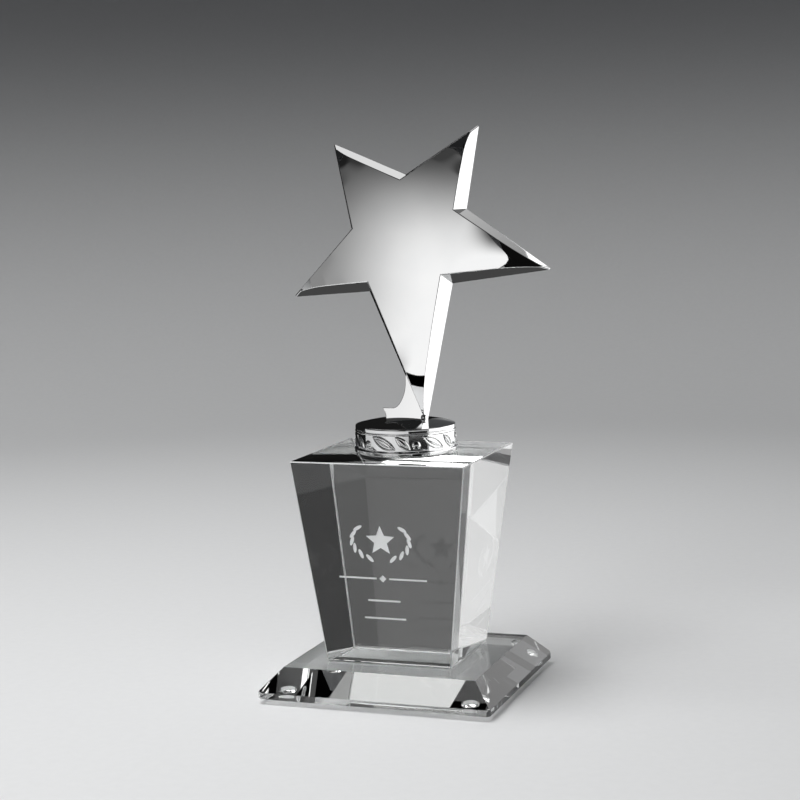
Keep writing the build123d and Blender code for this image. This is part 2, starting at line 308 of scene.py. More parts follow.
def bore(piece, centre, radius, low, high, segments=48):
    """Cuts a plain upright hole into a piece."""
    points, faces = lathe([(0, low), (radius, low), (radius, high), (0, high)], segments, centre)
    carve(piece, in_scene("hole", mesh_of(points, faces)))


def weld(mesh):
    """Joins the points that lie on each other, and removes slivers."""
    work = bmesh.new()
    work.from_mesh(mesh)
    bmesh.ops.remove_doubles(work, verts=work.verts, dist=0.002 * MM)
    bmesh.ops.dissolve_degenerate(work, edges=work.edges, dist=0.001 * MM)
    work.to_mesh(mesh)
    work.free()


def cad_copy(name, node):
    """A piece that starts as a clean closed copy of a CAD node's mesh."""
    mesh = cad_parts[node].data.copy()
    mesh.name = name
    mesh.materials.clear()
    weld(mesh)
    if mesh.has_custom_normals:
        mesh.attributes.remove(mesh.attributes["custom_normal"])
    mesh.shade_flat()
    return own_piece(in_scene(name, mesh), node)


# ---- materials ----


class Finish:
    """A Principled material with a few helpers for procedural detail, in object space."""

    def __init__(self, name, **sockets):
        self.material = bpy.data.materials.new(name)
        self.material.use_nodes = True
        self.tree = self.material.node_tree
        self.shader = self.tree.nodes["Principled BSDF"]
        self.space = self.tree.nodes.new("ShaderNodeTexCoord").outputs["Object"]
        self.height = None
        for socket, value in sockets.items():
            self.shader.inputs[socket.replace("_", " ")].default_value = value

    def node(self, kind, **settings):
        made = self.tree.nodes.new(kind)
        for key, value in settings.items():
            setattr(made, key, value)
        return made

    def noise(self, scale, detail, stretch=None):
        """A noise texture with features about 1 / scale metres across."""
        made = self.node("ShaderNodeTexNoise")
        made.inputs["Scale"].default_value = scale
        made.inputs["Detail"].default_value = detail
        source = self.space
        if stretch:
            mapping = self.node("ShaderNodeMapping")
            mapping.inputs["Scale"].default_value = stretch
            self.tree.links.new(self.space, mapping.inputs["Vector"])
            source = mapping.outputs["Vector"]
        self.tree.links.new(source, made.inputs["Vector"])
        return made.outputs["Fac"]

    def ramp(self, value, low, high, out_low, out_high):
        """Turns a value from low..high into out_low..out_high."""
        made = self.node("ShaderNodeMapRange")
        made.interpolation_type = "SMOOTHSTEP"
        limits = {"From Min": low, "From Max": high, "To Min": out_low, "To Max": out_high}
        for socket, number in limits.items():
            made.inputs[socket].default_value = number
        self.tree.links.new(value, made.inputs["Value"])
        return made.outputs["Result"]

    def blend_colours(self, value, first, second):
        """A colour between two, by a value from 0 to 1."""
        made = self.node("ShaderNodeMix", data_type="RGBA")
        made.inputs["A"].default_value = (*first, 1)
        made.inputs["B"].default_value = (*second, 1)
        self.tree.links.new(value, made.inputs["Factor"])
        return made.outputs["Result"]

    def set(self, socket, value):
        self.tree.links.new(value, self.shader.inputs[socket])

    def bump(self, value, distance):
        """Adds a bump of that height in millimetres, on top of earlier ones."""
        made = self.node("ShaderNodeBump")
        made.inputs["Distance"].default_value = distance * MM
        self.tree.links.new(value, made.inputs["Height"])
        if self.height is not None:
            self.tree.links.new(self.height, made.inputs["Normal"])
        self.height = made.outputs["Normal"]
        self.tree.links.new(self.height, self.shader.inputs["Normal"])


def chrome_finish():
    """Mirror chrome over a hand-polished casting: faint waves, and a soft haze of handling."""
    made = Finish("chrome", Metallic=1.0, IOR=2.5)
    haze = made.noise(90, detail=5)
    made.set("Base Color", made.blend_colours(haze, (0.86, 0.865, 0.87), (0.93, 0.93, 0.925)))
    made.set("Roughness", made.ramp(haze, 0.35, 0.75, 0.018, 0.05))
    made.bump(made.noise(45, detail=1), 0.02)
    made.bump(made.noise(5200, detail=2, stretch=(1, 1, 0.15)), 0.00012)
    return made.material


def glass_finish():
    """Clear polished crystal, with a trace of polishing waviness and faint wiped smears."""
    made = Finish("clear_crystal", Roughness=0.0, IOR=1.5, Transmission_Weight=1.0)
    smears = made.noise(55, detail=4, stretch=(1.0, 1.0, 0.35))
    made.set("Base Color", made.blend_colours(smears, (0.985, 1.0, 0.992), (1.0, 1.0, 1.0)))
    made.set("Roughness", made.ramp(smears, 0.62, 0.8, 0.0, 0.012))
    made.bump(made.noise(30, detail=0), 0.004)
    return made.material


def contact_finish():
    """Where clear parts are bonded: nothing is seen at the joint but a trace of dust."""
    material = bpy.data.materials.new("bonded_contact")
    material.use_nodes = True
    tree = material.node_tree
    tree.nodes.remove(tree.nodes["Principled BSDF"])
    clear = tree.nodes.new("ShaderNodeBsdfTransparent")
    space = tree.nodes.new("ShaderNodeTexCoord")
    specks = tree.nodes.new("ShaderNodeTexNoise")
    specks.inputs["Scale"].default_value = 900
    tree.links.new(space.outputs["Object"], specks.inputs["Vector"])
    tint = tree.nodes.new("ShaderNodeMix")
    tint.data_type = "RGBA"
    tint.inputs["A"].default_value = (0.985, 0.99, 0.985, 1)
    tint.inputs["B"].default_value = (1, 1, 1, 1)
    tree.links.new(specks.outputs["Fac"], tint.inputs["Factor"])
    tree.links.new(tint.outputs["Result"], clear.inputs["Color"])
    tree.links.new(clear.outputs["BSDF"], tree.nodes["Material Output"].inputs["Surface"])
    return material


def grained_finish(name, scale, detail, colours, roughness, depth, stretch=None, **sockets):
    """A finish whose colour, roughness and height all follow one grain."""
    made = Finish(name, **sockets)
    grain = made.noise(scale, detail, stretch)
    made.set("Base Color", made.blend_colours(grain, *colours))
    made.set("Roughness", made.ramp(grain, 0.3, 0.7, *roughness))
    made.bump(grain, depth)
    return made.material


def frost_finish():
    """Sandblasted glass: white, fine-grained, letting some light through."""
    return grained_finish(
        "frosted_marks", 2600, 3, ((0.88, 0.9, 0.9), (1.0, 1.0, 1.0)), (0.55, 0.8), 0.02,
        IOR=1.5, Transmission_Weight=0.1,
    )


def arris_highlight_finish():
    """The chamfer along the crystal's edges: fine-grained, white and half diffuse, a painted highlight that
    shows each edge as a bright line.
    """
    return grained_finish(
        "arris_painted_highlight", 1800, 3, ((0.9, 0.92, 0.92), (1.0, 1.0, 1.0)), (0.25, 0.45), 0.004,
        IOR=1.5, Transmission_Weight=0.5,
    )


def bumper_finish():
    """Clear soft polyurethane, slightly grey, with a fine bloom."""
    return grained_finish(
        "clear_polyurethane", 700, 3, ((0.93, 0.94, 0.94), (0.98, 0.98, 0.98)), (0.05, 0.14), 0.01,
        IOR=1.48, Transmission_Weight=1.0,
    )


def pad_finish():
    """Grey foam adhesive."""
    return grained_finish(
        "grey_adhesive", 3000, 4, ((0.09, 0.09, 0.095), (0.17, 0.17, 0.175)), (0.6, 0.9), 0.05,
    )


def steel_finish():
    """Plain machined steel of the hidden fixings and the closing disc."""
    return grained_finish(
        "machined_steel", 400, 2, ((0.5, 0.5, 0.51), (0.68, 0.68, 0.69)), (0.22, 0.42), 0.004,
        stretch=(1, 1, 14), Metallic=1.0,
    )


chrome = chrome_finish()
crystal = glass_finish()
contact = contact_finish()
frost = frost_finish()
arris = arris_highlight_finish()
polyurethane = bumper_finish()
adhesive = pad_finish()
steel = steel_finish()

# ---- star ----

star_axes = Matrix((
    (1, 0, 0),
    (0, math.sin(star_lean), -math.cos(star_lean)),
    (0, math.cos(star_lean), math.sin(star_lean)),
))
star_origin = Vector((0, star_tip_y, block_top + star_tip_height))


def from_star_plane(points):
    """Points in the star's own plane, x, y and out of the front, as points in the frame."""
    axes = np.array(star_axes)
    return np.asarray(points, float) @ axes.T + np.array(star_origin)


def star_outline(side_steps, tip_steps):
    """The back outline about the star's middle, how each point moves in as the star narrows toward
    its front, and which points are notches."""
    corners = []
    for angle, length, notch_angle, notch_radius in zip(arm_angles, arm_lengths, notch_angles, notch_radii):
        corners.append(polar(length, angle))
        corners.append(polar(notch_radius, notch_angle))
    count = len(corners)
    inward = []
    for index in range(count):
        side = corners[(index + 1) % count] - corners[index]
        inward.append(np.array((-side[1], side[0])) / np.linalg.norm(side))
    mitres = [
        (inward[index - 1] + inward[index]) / (1 + inward[index - 1] @ inward[index])
        for index in range(count)
    ]
    starts, ends, arcs = [], [], []
    for index in range(count):
        corner = corners[index]
        if index % 2:
            starts.append(corner)
            ends.append(corner)
            arcs.append([corner])
            continue
        half = math.asin(1 / np.linalg.norm(mitres[index]))
        middle = corner + mitres[index] / np.linalg.norm(mitres[index]) * arm_tip_radius / math.sin(half)
        first = math.atan2(-inward[index - 1][1], -inward[index - 1][0])
        sweep = (math.atan2(-inward[index][1], -inward[index][0]) - first) % (2 * math.pi)
        arc = []
        for step in range(tip_steps + 1):
            turn = first + sweep * step / tip_steps
            arc.append(middle + arm_tip_radius * np.array((math.cos(turn), math.sin(turn))))
        starts.append(arc[0])
        ends.append(arc[-1])
        arcs.append(arc)
    outline, moves, notches = [], [], []
    for index in range(count):
        following = (index + 1) % count
        for point in arcs[index]:
            outline.append(point)
            moves.append(mitres[index])
            notches.append(index % 2 == 1)
        for step in range(1, side_steps):
            share = step / side_steps
            outline.append(ends[index] * (1 - share) + starts[following] * share)
            moves.append(mitres[index] * (1 - share) + mitres[following] * share)
            notches.append(False)
    return np.array(outline), np.array(moves), np.array(notches)


def face_height(x, y):
    """How far the crowned front stands out of the back plane, about the star's middle."""
    upward = np.where(y > 0, crown_radius, crown_radius_down)
    height = star_thickness - x**2 / (2 * crown_radius) - y**2 / (2 * upward)
    distance = np.hypot(x, y) + 1e-6
    for angle, length, nose, spread in zip(arm_angles, arm_lengths, nose_lengths, nose_spreads):
        turn = math.radians(angle)
        along = x * math.cos(turn) + y * math.sin(turn)
        across = y * math.cos(turn) - x * math.sin(turn)
        start = length - nose
        tip_x, tip_y = polar(length, angle)
        tip_radius = crown_radius if tip_y > 0 else crown_radius_down
        tip_height = star_thickness - tip_x**2 / (2 * crown_radius) - tip_y**2 / (2 * tip_radius)
        past = np.maximum(0, along - start)
        on_arm = smoothstep((along / distance - arm_cosine) / arm_blend)
        beside = (spread * across) ** 2 * on_arm * smoothstep((along - start + nose / 2) / nose)
        height = height - (tip_height - nose_thickness) * (past**2 + beside) / nose**2
    return height


def wall_heights(outline, moves):
    """Where each side wall, rising from the back outline, meets the crowned front."""
    slope = math.tan(star_draft)
    tried = np.linspace(0, star_thickness, 173)
    low = np.zeros(len(outline))
    found = np.zeros(len(outline), bool)
    for height in tried[1:]:
        inner = outline + moves * height * slope
        above = face_height(inner[:, 0], inner[:, 1]) <= height
        fresh = above & ~found
        found |= fresh
        low = np.where(found, low, height)
    high = low + tried[1]
    for _ in range(30):
        middle = (low + high) / 2
        inner = outline + moves * (middle * slope)[:, None]
        above = face_height(inner[:, 0], inner[:, 1]) <= middle
        high = np.where(above, middle, high)
        low = np.where(above, low, middle)
    return (low + high) / 2


def bend(start, corner, end, steps):
    """The points of a smooth bend between two points, pulled toward a corner."""
    rows = []
    for step in range(steps + 1):
        share = step / steps
        rows.append(start * (1 - share) ** 2 + corner * 2 * share * (1 - share) + end * share**2)
    return rows


def star_mesh(side_steps, tip_steps, rings):
    """Rows of points from the middle of the back, out round the walls and in over the front."""
    outline, moves, notches = star_outline(side_steps, tip_steps)
    count = len(outline)
    slope = math.tan(star_draft)
    heights = wall_heights(outline, moves)
    base = np.column_stack((outline, np.zeros(count)))
    inner = outline + moves * (heights * slope)[:, None]
    rim = np.column_stack((inner, heights))
    down = (base - rim) / np.linalg.norm(base - rim, axis=1)[:, None]
    reach = np.minimum(front_edge_round, heights * 0.3)[:, None]
    # the front edge is rounded between the wall and the face
    flat = inner * (1 - reach / np.linalg.norm(inner, axis=1)[:, None])
    face_start = np.column_stack((flat, face_height(flat[:, 0], flat[:, 1])))
    to_middle = base * (1 - back_edge_round / np.linalg.norm(base, axis=1)[:, None])
    rows = bend(to_middle, base, base - down * back_edge_round, 3)
    wall_start = rows[-1]
    wall_end = rim + down * reach
    for share in (0.04, 0.35, 0.65, 0.96):
        rows.append(wall_start * (1 - share) + wall_end * share)
    rows.extend(bend(wall_end, rim, face_start, 5))
    crease_rows = len(rows)
    for ring in range(1, rings):
        near = flat * (1 - ring / rings)
        if ring == 1:
            first = flat * (1 - 0.12 / rings)
            rows.append(np.column_stack((first, face_height(first[:, 0], first[:, 1]))))
        rows.append(np.column_stack((near, face_height(near[:, 0], near[:, 1]))))
    points = np.vstack(rows)
    points = np.vstack((points, [(0, 0, 0), (0, 0, star_thickness)]))
    back, front = len(points) - 2, len(points) - 1
    faces = []
    for row in range(len(rows) - 1):
        for step in range(count):
            near = (step + 1) % count
            low, high = row * count, (row + 1) * count
            faces.append((low + step, low + near, high + near, high + step))
    last = (len(rows) - 1) * count
    for step in range(count):
        near = (step + 1) % count
        faces.append((back, near, step))
        faces.append((last + step, last + near, front))
    creases = set()
    for step in np.flatnonzero(notches):
        for row in range(crease_rows - 1):
            creases.add((row * count + int(step), (row + 1) * count + int(step)))
    points[:, 0] += star_centre[0]
    points[:, 1] += star_centre[1]
    return from_star_plane(points), faces, creases


def mark_sharp(mesh, pairs):
    """Marks the edges between these pairs of points as sharp."""
    sharp = mesh.attributes.get("sharp_edge") or mesh.attributes.new("sharp_edge", "BOOLEAN", "EDGE")
    wanted = {tuple(sorted(pair)) for pair in pairs}
    for edge in mesh.edges:
        if tuple(sorted(edge.vertices)) in wanted:
            sharp.data[edge.index].value = True


def dome_line():
    """The outside of the domed cap, from its seam to its crown, heights above the block's top."""
    bulge = (cap_radius**2 + cap_rise**2) / (2 * cap_rise)
    line = []
    rim = (cap_radius, cap_rim_height)
    steps = 44
    for step in range(1, steps + 1):
        radius = cap_radius * (1 - step / steps)
        line.append((radius, cap_rim_height + cap_rise - bulge + math.sqrt(bulge**2 - radius**2)))
    corner = [(cap_radius, band_top + seam_gap, 0), (*rim, 0.4), (*line[0], 0)]
    return rounded(corner, 8)[1:-1] + line


def dome_cutter():
    """The cap's outside as a solid, for trimming what stands on it."""
    line = [(0, block_top + band_top), (cap_radius, block_top + band_top)]
    line += [(radius, block_top + height) for radius, height in dome_line()]
    points, faces = lathe(line, 192, (collar_x, collar_y))
    return in_scene("dome", mesh_of(points, faces))


def ball(centre, radius, segments=48):
    """A smooth ball for adding to a casting."""
    steps = segments // 2
    line = []
    for step in range(steps + 1):
        angle = math.pi * step / steps
        line.append((radius * math.sin(angle), centre[2] - radius * math.cos(angle)))
    line[0] = (0, line[0][1])
    line[-1] = (0, line[-1][1])
    points, faces = lathe(line, segments, (centre[0], centre[1]))
    return in_scene("ball", mesh_of(points, faces))


def make_star():
    """The star with its bead, trimmed to stand on the domed cap."""
    points, faces, creases = star_mesh(side_steps=58, tip_steps=10, rings=72)
    star = new_piece("star_casting", points, faces, "star")
    mark_sharp(star.data, creases)
    carve(star, ball(from_star_plane([bead_place])[0], bead_radius), "UNION")
    carve(star, dome_cutter())
    even_shading(star)
    dress(star, chrome)


make_star()

# ---- support foot ----


def spline(points, start_heading, end_heading, steps):
    """A smooth curve through three points."""
    first, middle, last = (np.array(point, float) for point in points)
    through = (last - first) * 0.9
    line = []
    halves = ((first, middle, start_heading, through), (middle, last, through, end_heading))
    for near, far, out, into in halves:
        length = np.linalg.norm(far - near)
        out = np.array(out, float) / np.linalg.norm(out) * length
        into = np.array(into, float) / np.linalg.norm(into) * length
        for step in range(steps):
            share = step / steps
            cube, square = share**3, share**2
            line.append(
                near * (2 * cube - 3 * square + 1)
                + out * (cube - 2 * square + share)
                + far * (3 * square - 2 * cube)
                + into * (cube - square)
            )
    line.append(last)
    return line


def arc_through(start, middle, end, steps):
    """A shallow arc through three points."""
    start, middle, end = (np.array(point, float) for point in (start, middle, end))
    pull = 2 * middle - (start + end) / 2
    return bend(start, pull, end, steps)


def long_arm_point(height):
    """The point of the long arm's middle line at a height in the star's plane."""
    longest = arm_lengths.index(max(arm_lengths))
    tip = polar(arm_lengths[longest], arm_angles[longest]) + np.array(star_centre)
    share = (height - tip[1]) / (star_centre[1] - tip[1])
    return np.array((tip[0] + share * (star_centre[0] - tip[0]), height))


def make_foot():
    """Cut from plate to its outline, its free edges rounded, then trimmed by star and dome."""
    ledge_corner = (foot_ledge_outer[0] + foot_ledge_slant, foot_ledge_outer[1] - foot_ledge_drop)
    outline = spline((foot_top, foot_waist, foot_ledge_inner), foot_top_heading, foot_ledge_heading, 14)
    outline.append(np.array(foot_ledge_outer))
    outline += arc_through(ledge_corner, foot_toe_hollow, foot_toe, 8)
    outline.append(np.array((foot_toe[0], foot_toe[1] - foot_below)))
    outline.append(long_arm_point(foot_toe[1] - foot_below))
    outline.append(long_arm_point(foot_top[1]))
    count = len(outline)
    back = [(*point, 0) for point in outline]
    front = [(*point, foot_thickness) for point in outline]
    points = from_star_plane(back + front)
    faces = [tuple(range(count))[::-1], tuple(range(count, 2 * count))]
    for step in range(count):
        near = (step + 1) % count
        faces.append((step, near, count + near, count + step))
    foot = new_piece("support_foot_casting", points, faces, "support_foot")
    # the normals are set outward before the edges are rounded
    work = bmesh.new()
    work.from_mesh(foot.data)
    bmesh.ops.recalc_face_normals(work, faces=work.faces)
    work.to_mesh(foot.data)
    work.free()
    soft = foot.modifiers.new("soft_edges", "BEVEL")
    soft.width = foot_edge_round * MM
    soft.segments = 4
    soft.limit_method = "ANGLE"
    soft.angle_limit = math.radians(32)
    apply_modifiers(foot)
    raw_points, raw_faces, _ = star_mesh(side_steps=14, tip_steps=4, rings=12)
    carve(foot, in_scene("arm", mesh_of(raw_points, raw_faces)))
    carve(foot, dome_cutter())
    bore(foot, (screw_x, fixing_y), screw_shank_radius, screw_low.z, screw_high.z)
    bore(foot, (pin_x, fixing_y), pin_radius, pin_low.z, pin_high.z)
    weld(foot.data)
    foot.data.shade_smooth()
    foot.data.set_sharp_from_angle(angle=math.radians(28))
    even_shading(foot)
    dress(foot, chrome)


make_foot()

# ---- collar ----


def lens(along, length, width):
    """Half the width of a pointed leaf at a place along it."""
    return width / 2 * (1 - (2 * along / length) ** 2)


def ridge(distance, width):
    """A smooth ridge, 1 high in its middle."""
    return np.exp(-((distance / width) ** 2))


def leaf_shape(along, across, length, width):
    """A leaf's relief from 0 to 1: a raised rim, a sunk band, and an inner leaf with fine veins."""
    edge = lens(along, length, width)
    inside = smoothstep((edge + 0.12) / 0.25)
    rim = ridge(np.abs(across) - edge + rim_inset, rim_width) * inside
    inner_edge = lens(along, length * inner_leaf[0], width * inner_leaf[1])
    inner = smoothstep((inner_edge - np.abs(across)) / 0.32) * smoothstep(inner_edge / 0.2)
    rib = ridge(across, rib_width) * smoothstep(inner_edge / 0.3)
    veins = 0.5 + 0.5 * np.cos((np.abs(across) * vein_slant + along) * 2 * math.pi / vein_pitch)
    body = inner * (0.5 + 0.16 * veins * (1 - rib)) + 0.3 * rib * inner
    floor = -sunk_depth * smoothstep((edge - np.abs(across)) / 0.3) * inside
    return np.maximum(rim, body) + floor


def band_relief(around, height, radius):
    """How far leaves and berries stand out of the band's field at one height, all the way round."""
    raised = np.zeros(len(around))
    level = height - block_top
    if radius < field_radius - 0.05 or level < field_bottom or level > field_top:
        return raised
    fade = smoothstep((level - field_bottom) / 0.35) * smoothstep((field_top - level) / 0.35)
    degrees = np.degrees(around)
    for repeat in range(repeats):
        turn = pattern_turn + repeat * 360 / repeats
        for angle, length, width, tilt in leaves:
            apart = (degrees - turn - angle + 180) % 360 - 180
            out = np.radians(apart) * field_radius
            lean = math.radians(tilt)
            up = level - leaf_height
            along = out * math.cos(lean) + up * math.sin(lean)
            across = up * math.cos(lean) - out * math.sin(lean)
            near = np.abs(along) < length / 2 + 0.4
            shape = np.where(near, leaf_shape(along, across, length, width), 0)
            raised += leaf_relief * shape
        apart = (degrees - turn - berry_angle + 180) % 360 - 180
        out = np.radians(apart) * field_radius
        span = np.hypot(out, level - berry_height) / berry_radius
        dome = np.sqrt(np.maximum(0, 1 - np.minimum(span, 1) ** 2))
        raised = np.maximum(raised, berry_proud * dome)
    return raised * fade


def make_band():
    """The decorated ring: a lathe line with fine steps where the leaves are."""
    field_steps = 62
    line = [(bore_radius, band_bottom)]
    line += rounded([
        (bore_radius, band_bottom, 0), (lip_radius, band_bottom, 0.45), (lip_radius, lip_top, 0.45),
        (field_radius, field_bottom, 0.25), (field_radius, field_top, 0),
    ], 5)[1:-1]
    for step in range(1, field_steps):
        height = field_bottom + 0.3 + (field_top - field_bottom - 0.5) * step / field_steps
        line.append((field_radius, height))
    line += rounded([
        (field_radius, field_bottom, 0), (field_radius, field_top, 0.2),
        (shoulder_radius, field_top + shoulder_radius - field_radius, 0.15),
        (shoulder_radius, band_top, 0.2), (bore_radius, band_top, 0),
    ], 4)[1:]
    line = [(radius, block_top + height) for radius, height in line]
    points, faces = lathe(line, 960, (collar_x, collar_y), band_relief)
    band = new_piece("collar_band_casting", points, faces, "collar_band")
    band.data.set_sharp_from_angle(angle=math.radians(60))
    dress(band, chrome)


def make_cap():
    """The domed cap with its spigot, and the holes for screw and pin."""
    spigot_radius = bore_radius - 0.02
    spigot_inside = spigot_radius - spigot_wall
    seam_radius = shoulder_radius - 2 * seam_gap
    line = [
        (0, cap_ceiling), (spigot_inside, cap_ceiling), (spigot_inside, band_top - spigot_length),
        (spigot_radius, band_top - spigot_length), (spigot_radius, band_top),
        (seam_radius, band_top), (seam_radius, band_top + seam_gap),
    ]
    line += rounded([
        (seam_radius, band_top + seam_gap, 0), (cap_radius, band_top + seam_gap, 0.15),
        (cap_radius, cap_rim_height, 0),
    ], 4)[1:-1]
    line += dome_line()
    line = [(radius, block_top + height) for radius, height in line]
    points, faces = lathe(line, 256, (collar_x, collar_y))
    cap = new_piece("collar_cap_casting", points, faces, "collar_cap")
    above = cap_top + 2
    bore(cap, (screw_x, fixing_y), screw_shank_radius, block_top + cap_ceiling - 1, above)
    bore(cap, (pin_x, fixing_y), pin_radius, pin_low.z, above)
    cap.data.shade_smooth()
    cap.data.set_sharp_from_angle(angle=math.radians(35))
    dress(cap, chrome)


def make_pad():
    """The foam adhesive pad, with a soft rounded edge."""
    low, high = pad_low.z + 0.02, pad_high.z - 0.01
    radius = (pad_high.x - pad_low.x) / 2
    line = rounded([(0, low, 0), (radius, low, 0.2), (radius, high, 0.2), (0, high, 0)], 4)
    points, faces = lathe(line, 160, (collar_x, collar_y))
    pad = new_piece("collar_pad_foam", points, faces, "collar_pad")
    dress(pad, adhesive)


make_band()
make_cap()
make_pad()

# ---- glass ----


def make_block():
    """The glass block, with frosted pockets in its front face and a bonded underside."""
    block = cad_copy("glass_block_crystal", "glass_block")
    dress(block, crystal, frost, contact, arris)
    front_faces = [face for face in block.data.polygons if face.normal.y < -0.9]
    outward = max(front_faces, key=lambda face: face.area).normal.copy()
    face_depth = max(face.center.dot(outward) for face in front_faces)
    for face in block.data.polygons:
        x, _, height = face.center / MM
        depth = (face_depth - face.center.dot(outward)) / MM
        behind_face = 0.01 < depth < marks_deepest
        at_marks_level = block_low.z + marks_margin < height < block_top - marks_margin
        if behind_face and at_marks_level and abs(x) < marks_half_width:
            face.material_index = 1
        elif face.normal.z < -flat_face and height < block_low.z + 0.01:
            face.material_index = 2
        # chamfer faces take the arris finish, the painted edge highlight
        elif sorted(abs(value) for value in face.normal)[1] > arris_slant:
            face.material_index = 3


def make_bond():
    """The clear adhesive film between block and plate."""
    low, high = bond_low, bond_high
    points = [(x, y, z) for z in (low.z, high.z) for x, y in (
        (low.x, low.y), (high.x, low.y), (high.x, high.y), (low.x, high.y))]
    faces = [(3, 2, 1, 0), (4, 5, 6, 7), (0, 1, 5, 4), (1, 2, 6, 5), (2, 3, 7, 6), (3, 0, 4, 7)]
    bond = new_piece("block_bond_film", points, faces, "block_bond")
    bond.data.shade_flat()
    dress(bond, crystal, contact)
    for face in bond.data.polygons[:2]:
        face.material_index = 1


def make_plate():
    """The bevelled glass plate, its top clear of any surface under the bond."""
    plate = cad_copy("base_plate_crystal", "base_plate")
    for corner in corners:
        low, high = node_box("bumper_foot_" + corner)
        centre = ((low.x + high.x) / 2, (low.y + high.y) / 2)
        bore(plate, centre, (high.x - low.x) / 2 - bumper_margin, low.z, high.z + bumper_bed, 64)
    work = bmesh.new()
    work.from_mesh(plate.data)
    bmesh.ops.dissolve_limit(
        work, angle_limit=math.radians(0.5), verts=work.verts, edges=work.edges, delimit={"NORMAL"}
    )
    for centre, across in (
        ((bond_low.x, 0, 0), (1, 0, 0)), ((bond_high.x, 0, 0), (1, 0, 0)),
        ((0, bond_low.y, 0), (0, 1, 0)), ((0, bond_high.y, 0), (0, 1, 0)),
    ):
        top = [face for face in work.faces if face.normal.z > flat_face]
        geometry = top + list(dict.fromkeys(edge for face in top for edge in face.edges))
        geometry += list(dict.fromkeys(point for face in top for point in face.verts))
        bmesh.ops.bisect_plane(work, geom=geometry, plane_co=Vector(centre) * MM, plane_no=across)
    work.to_mesh(plate.data)
    work.free()
    plate.data.shade_flat()
    dress(plate, crystal, contact)
    for face in plate.data.polygons:
        under_bond = abs(face.center.x) < 1 * MM and abs(face.center.y) < 1 * MM
        bonded = under_bond and face.normal.z > flat_face
        in_bed = face.center.z / MM > plate_underside + bumper_bed / 2
        on_bumper = face.normal.z < -flat_face and in_bed
        face.material_index = 1 if bonded or on_bumper else 0


def make_bumper(corner):
    """A clear soft foot, rounded toward the floor."""
    node = "bumper_foot_" + corner
    low, high = node_box(node)
    radius = (high.x - low.x) / 2
    centre = ((high.x + low.x) / 2, (high.y + low.y) / 2)
    line = rounded([
        (0, low.z, 0), (radius - 0.5, low.z, 0.9), (radius, high.z - 0.4, 0.3),
        (radius, high.z - bumper_bed, 0.08), (0, high.z - bumper_bed, 0),
    ], 8)
    points, faces = lathe(line, 96, centre)
    bumper = new_piece(node + "_clear", points, faces, node)
    bumper.data.set_sharp_from_angle(angle=math.radians(50))
    dress(bumper, polyurethane, contact)
    for face in bumper.data.polygons:
        if face.normal.z > flat_face:
            face.material_index = 1


make_block()
make_bond()
make_plate()
for corner in corners:
    make_bumper(corner)

for node in ("collar_disc", "foot_screw", "foot_washer", "locating_pin"):
    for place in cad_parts[node].material_slots:
        place.material = steel

# ---- studio ----

camera_turn = math.radians(19.81)       # the camera stands to the right of the front
camera_distance = 0.7629                # from the trophy's axis, on the floor
camera_height = 0.21425
camera_pan = math.radians(19.892)
camera_tilt = math.radians(-6.943)
camera_roll = math.radians(-1.406)
camera_lens = 82.69
stage_radius = 1.5
stage_curve = 0.7
stage_height = 1.3
stage_steps = 24
floor_gap = 0.05                        # in millimetres, between the floor and the bumpers
floor_colour = (0.72, 0.725, 0.73)
# the backdrop's dark colour is painted shade, for light falling off away from the floor
painted_backdrop_shade = (0.16, 0.163, 0.168)
painted_shade_height = 0.45                    # the floor's colour darkens into the painted backdrop shade over this height
lamp_aim = Vector((0, 0, 0.1))
flag_height = 0.0006                    # of the flags on the floor
swept_run = (0.045, 0.255)              # where the flag behind the block starts, and how far it runs
swept_rise = 0.3
swept_width = 0.09                      # at its start
swept_flare = 0.76                      # how much wider it gets for each metre of its run


def make_camera():
    data = bpy.data.cameras.new("camera")
    data.sensor_width = 36
    data.lens = camera_lens
    data.clip_start = 0.01
    data.clip_end = 50
    camera = in_scene("camera", data)
    forward = Vector((
        -math.sin(camera_pan) * math.cos(camera_tilt),
        math.cos(camera_pan) * math.cos(camera_tilt),
        math.sin(camera_tilt),
    ))
    right = Vector((math.cos(camera_pan), math.sin(camera_pan), 0))
    upward = right.cross(forward)
    rolled_right = right * math.cos(camera_roll) + upward * math.sin(camera_roll)
    rolled_up = upward * math.cos(camera_roll) - right * math.sin(camera_roll)
    axes = Matrix((rolled_right, rolled_up, -forward)).transposed().to_4x4()
    place = Vector((
        camera_distance * math.sin(camera_turn), -camera_distance * math.cos(camera_turn), camera_height,
    ))
    camera.matrix_world = Matrix.Translation(place) @ axes
    bpy.context.scene.camera = camera


